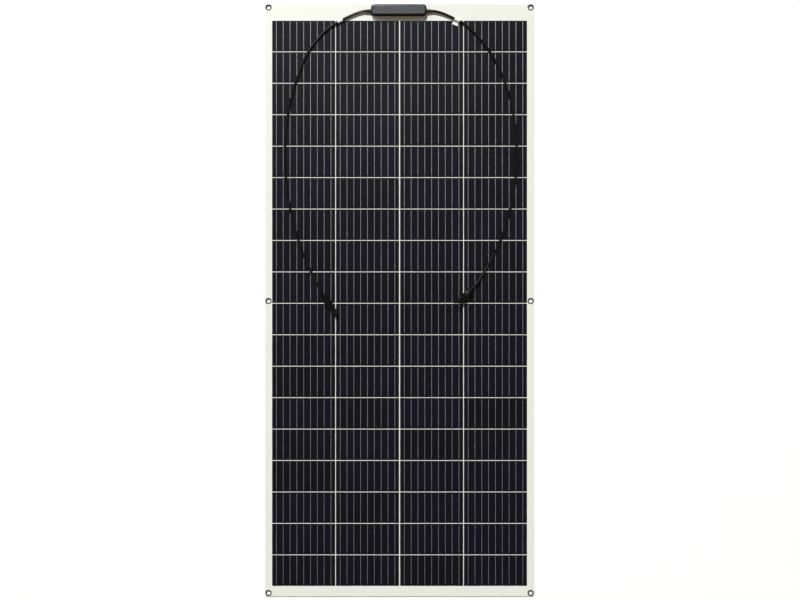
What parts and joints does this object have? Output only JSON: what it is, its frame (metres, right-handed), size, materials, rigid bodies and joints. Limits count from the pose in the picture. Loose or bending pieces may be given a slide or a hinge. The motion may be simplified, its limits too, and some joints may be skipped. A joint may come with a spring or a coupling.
{
  "type": "flexible solar sheet",
  "caption": "Thin flexible solar laminate with half-cut cells under clear film, corner and side eyelets, a slim junction box and black leads ending in plug connectors.",
  "frame": {"origin": "centre of the sheet's rear face, on the surface it lies on", "axes": "+Y along the sheet towards the junction box, +Z out of the cell face, +X across the sheet"},
  "size_m": [0.686, 1.51, 0.0208],
  "materials": {
    "board": "satin white",
    "encapsulant": "clear",
    "film": "clear, finely textured",
    "cell": "very dark blue-grey, satin",
    "ribbon": "tinned copper",
    "cover_strip": "white film",
    "eyelet": "dark plated metal",
    "adhesive_pad": "black foam tape",
    "box_plastic": "black, semi-gloss",
    "rubber": "matt black",
    "terminal": "plain",
    "diode": "black with a pale band",
    "cable": "satin black sheath",
    "label": "white, blank",
    "connector": "fine-grained black",
    "contact": "tinned"
  },
  "bodies": {
    "sheet_middle": {"rear_board_middle": "board", "rear_encapsulant_middle": "encapsulant", "cell_string_1_middle": "cell", "cell_string_2_middle": "cell", "cell_string_3_middle": "cell", "cell_string_4_middle": "cell", "front_encapsulant_middle": "encapsulant", "front_film_middle": "film", "eyelet_middle_left": "eyelet", "eyelet_middle_right": "eyelet", "cable_left_lower": "cable", "cable_right_lower": "cable", "connector_left_housing": "connector", "connector_left_contact": "contact", "connector_right_housing": "connector", "connector_right_contact": "contact"},
    "sheet_top": {"rear_board_top": "board", "rear_encapsulant_top": "encapsulant", "cell_string_1_top": "cell", "cell_string_2_top": "cell", "cell_string_3_top": "cell", "cell_string_4_top": "cell", "front_encapsulant_top": "encapsulant", "front_film_top": "film", "cover_strip_top": "cover_strip", "bus_ribbon_plus": "ribbon", "bus_ribbon_middle": "ribbon", "bus_ribbon_minus": "ribbon", "eyelet_top_left": "eyelet", "eyelet_top_right": "eyelet", "junction_box_pad": "adhesive_pad", "junction_box_base": "box_plastic", "junction_box_seal": "rubber", "terminal_plus": "terminal", "terminal_middle": "terminal", "terminal_minus": "terminal", "bypass_diode_left": "diode", "bypass_diode_right": "diode", "strain_relief_left": "rubber", "strain_relief_right": "rubber", "cable_left_upper": "cable", "cable_label_left": "label", "cable_right_upper": "cable", "cable_label_right": "label"},
    "sheet_bottom": {"rear_board_bottom": "board", "rear_encapsulant_bottom": "encapsulant", "cell_string_1_bottom": "cell", "cell_string_2_bottom": "cell", "cell_string_3_bottom": "cell", "cell_string_4_bottom": "cell", "front_encapsulant_bottom": "encapsulant", "front_film_bottom": "film", "cover_strip_bottom": "cover_strip", "eyelet_bottom_left": "eyelet", "eyelet_bottom_right": "eyelet", "bus_ribbon_bottom_left": "ribbon", "bus_ribbon_bottom_right": "ribbon"},
    "junction_box_lid": {"junction_box_lid": "box_plastic"},
    "connector_left_nut": {"connector_left_nut": "connector"},
    "connector_right_nut": {"connector_right_nut": "connector"}
  },
  "joints": [
    {"name": "upper_bend", "type": "hinge", "parent": "sheet_middle", "child": "sheet_top", "pos_m": [0, 0.2322, 0.00125], "axis": [1, 0, 0], "range_deg": [0, 15], "stiffness_Nm_per_rad": 20},
    {"name": "lower_bend", "type": "hinge", "parent": "sheet_middle", "child": "sheet_bottom", "pos_m": [0, -0.2484, 0.00125], "axis": [-1, 0, 0], "range_deg": [0, 15], "stiffness_Nm_per_rad": 20},
    {"name": "junction_box_lid_lift", "type": "slide", "parent": "sheet_top", "child": "junction_box_lid", "axis": [0, 0, 1], "range_m": [0, 0.03]},
    {"name": "left_connector_nut_turn", "type": "hinge", "parent": "sheet_middle", "child": "connector_left_nut", "pos_m": [-0.192, 0.011, 0.0118], "axis": [0.5592, -0.829, 0], "continuous": true},
    {"name": "right_connector_nut_turn", "type": "hinge", "parent": "sheet_middle", "child": "connector_right_nut", "pos_m": [0.181, 0.026, 0.0118], "axis": [-0.6626, -0.749, 0], "continuous": true}
  ]
}
